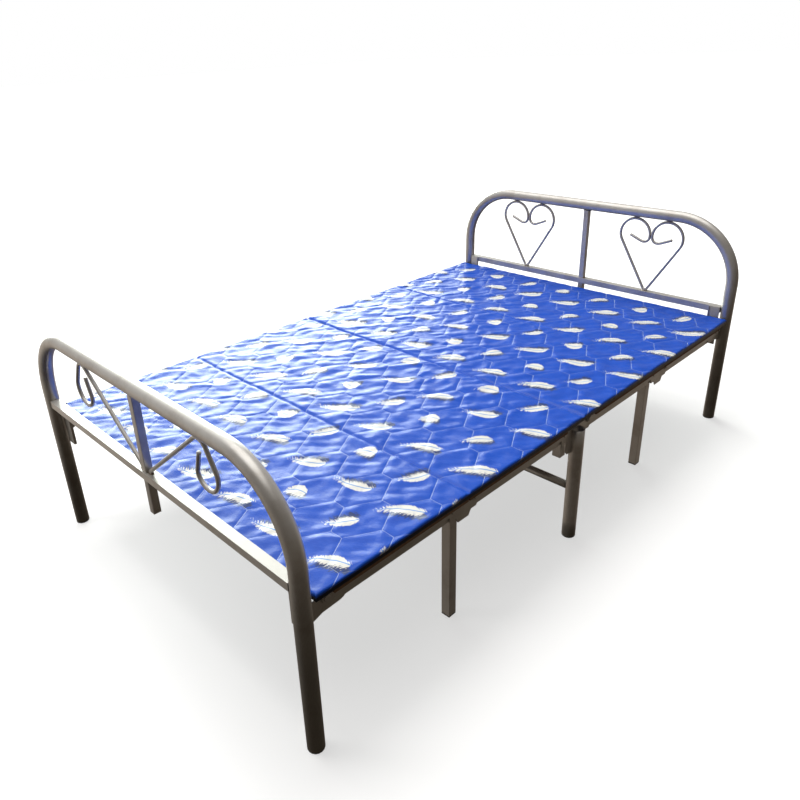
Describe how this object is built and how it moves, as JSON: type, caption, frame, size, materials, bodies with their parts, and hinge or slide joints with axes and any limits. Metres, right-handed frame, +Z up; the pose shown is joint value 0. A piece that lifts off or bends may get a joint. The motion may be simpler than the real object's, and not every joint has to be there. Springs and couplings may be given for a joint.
{
  "type": "folding guest bed",
  "caption": "Steel guest bed that folds in sections: bowed tube head and foot frames with hearts and scrolls, square legs, a middle stand and quilted padded boards.",
  "frame": {"origin": "on the floor under the middle of the open bed", "axes": "+X along the bed from the foot frame to the taller head frame, +Y across it to the far side, +Z up"},
  "size_m": [1.918, 1.151, 0.724],
  "materials": {
    "silver": "fine hammered silver paint, satin to glossy",
    "rubber": "matt black moulded caps",
    "board": "raw hardboard edge",
    "quilt": "satin-weave print, quilted"
  },
  "bodies": {
    "middle_stand": {"stand_leg_near": "silver", "stand_leg_far": "silver", "stand_plate_near": "silver", "stand_plate_far": "silver", "stand_cap_near": "rubber", "stand_cap_far": "rubber", "stand_top_bar": "silver", "stand_low_bar": "silver"},
    "foot_frame": {"foot_frame_tube": "silver", "foot_crossbar": "silver", "foot_post": "silver", "foot_scroll_near": "silver", "foot_scroll_far": "silver", "foot_plate_near": "silver", "foot_plate_far": "silver", "foot_cap_near": "rubber", "foot_cap_far": "rubber"},
    "head_frame": {"head_frame_tube": "silver", "head_crossbar": "silver", "head_post": "silver", "head_heart_near": "silver", "head_heart_far": "silver", "head_plate_near": "silver", "head_plate_far": "silver", "head_cap_near": "rubber", "head_cap_far": "rubber"},
    "quarter_legs_foot": {"quarter_bar_foot": "silver", "quarter_leg_foot_near": "silver", "quarter_leg_foot_far": "silver", "quarter_plate_foot_near": "silver", "quarter_plate_foot_far": "silver", "quarter_cap_foot_near": "rubber", "quarter_cap_foot_far": "rubber"},
    "quarter_legs_head": {"quarter_bar_head": "silver", "quarter_leg_head_near": "silver", "quarter_leg_head_far": "silver", "quarter_plate_head_near": "silver", "quarter_plate_head_far": "silver", "quarter_cap_head_near": "rubber", "quarter_cap_head_far": "rubber"},
    "section_1": {"section_1_frame": "silver", "section_1_board": "board", "section_1_pad": "quilt"},
    "link_1": {"link_1_near": "silver", "link_1_far": "silver"},
    "section_2": {"section_2_frame": "silver", "section_2_board": "board", "section_2_pad": "quilt"},
    "link_2": {"link_2_near": "silver", "link_2_far": "silver"},
    "section_3": {"section_3_frame": "silver", "section_3_board": "board", "section_3_pad": "quilt"},
    "link_3": {"link_3_near": "silver", "link_3_far": "silver"},
    "section_4": {"section_4_frame": "silver", "section_4_board": "board", "section_4_pad": "quilt"},
    "link_4": {"link_4_near": "silver", "link_4_far": "silver"}
  },
  "joints": [
    {"name": "foot_half_fold", "type": "hinge", "parent": "middle_stand", "child": "section_2", "pos_m": [-0.06, 0, 0.3505], "axis": [0, 1, 0], "range_deg": [0, 88]},
    {"name": "foot_quarter_level", "type": "hinge", "parent": "section_2", "child": "quarter_legs_foot", "pos_m": [-0.43, 0, 0.3505], "axis": [0, -1, 0], "range_deg": [0, 88]},
    {"name": "foot_outer_fold", "type": "hinge", "parent": "quarter_legs_foot", "child": "section_1", "pos_m": [-0.51, 0, 0.3505], "axis": [0, -1, 0], "range_deg": [0, 88]},
    {"name": "foot_frame_level", "type": "hinge", "parent": "section_1", "child": "foot_frame", "pos_m": [-0.88, 0, 0.3505], "axis": [0, 1, 0], "range_deg": [0, 88]},
    {"name": "link_2_swing", "type": "hinge", "parent": "middle_stand", "child": "link_2", "pos_m": [-0.06, 0, 0.3285], "axis": [0, 1, 0], "range_deg": [0, 88]},
    {"name": "link_1_swing", "type": "hinge", "parent": "quarter_legs_foot", "child": "link_1", "pos_m": [-0.51, 0, 0.3285], "axis": [0, -1, 0], "range_deg": [0, 88]},
    {"name": "head_half_fold", "type": "hinge", "parent": "middle_stand", "child": "section_3", "pos_m": [0.06, 0, 0.3505], "axis": [0, -1, 0], "range_deg": [0, 88]},
    {"name": "head_quarter_level", "type": "hinge", "parent": "section_3", "child": "quarter_legs_head", "pos_m": [0.43, 0, 0.3505], "axis": [0, 1, 0], "range_deg": [0, 88]},
    {"name": "head_outer_fold", "type": "hinge", "parent": "quarter_legs_head", "child": "section_4", "pos_m": [0.51, 0, 0.3505], "axis": [0, 1, 0], "range_deg": [0, 88]},
    {"name": "head_frame_level", "type": "hinge", "parent": "section_4", "child": "head_frame", "pos_m": [0.88, 0, 0.3505], "axis": [0, -1, 0], "range_deg": [0, 88]},
    {"name": "link_3_swing", "type": "hinge", "parent": "middle_stand", "child": "link_3", "pos_m": [0.06, 0, 0.3285], "axis": [0, -1, 0], "range_deg": [0, 88]},
    {"name": "link_4_swing", "type": "hinge", "parent": "quarter_legs_head", "child": "link_4", "pos_m": [0.51, 0, 0.3285], "axis": [0, 1, 0], "range_deg": [0, 88]}
  ],
  "couplings": [
    {"joint": "foot_quarter_level", "follows": "foot_half_fold", "ratio": 1},
    {"joint": "foot_outer_fold", "follows": "foot_half_fold", "ratio": 1},
    {"joint": "foot_frame_level", "follows": "foot_half_fold", "ratio": 1},
    {"joint": "link_2_swing", "follows": "foot_half_fold", "ratio": 1},
    {"joint": "link_1_swing", "follows": "foot_half_fold", "ratio": 1},
    {"joint": "head_quarter_level", "follows": "head_half_fold", "ratio": 1},
    {"joint": "head_outer_fold", "follows": "head_half_fold", "ratio": 1},
    {"joint": "head_frame_level", "follows": "head_half_fold", "ratio": 1},
    {"joint": "link_3_swing", "follows": "head_half_fold", "ratio": 1},
    {"joint": "link_4_swing", "follows": "head_half_fold", "ratio": 1}
  ]
}
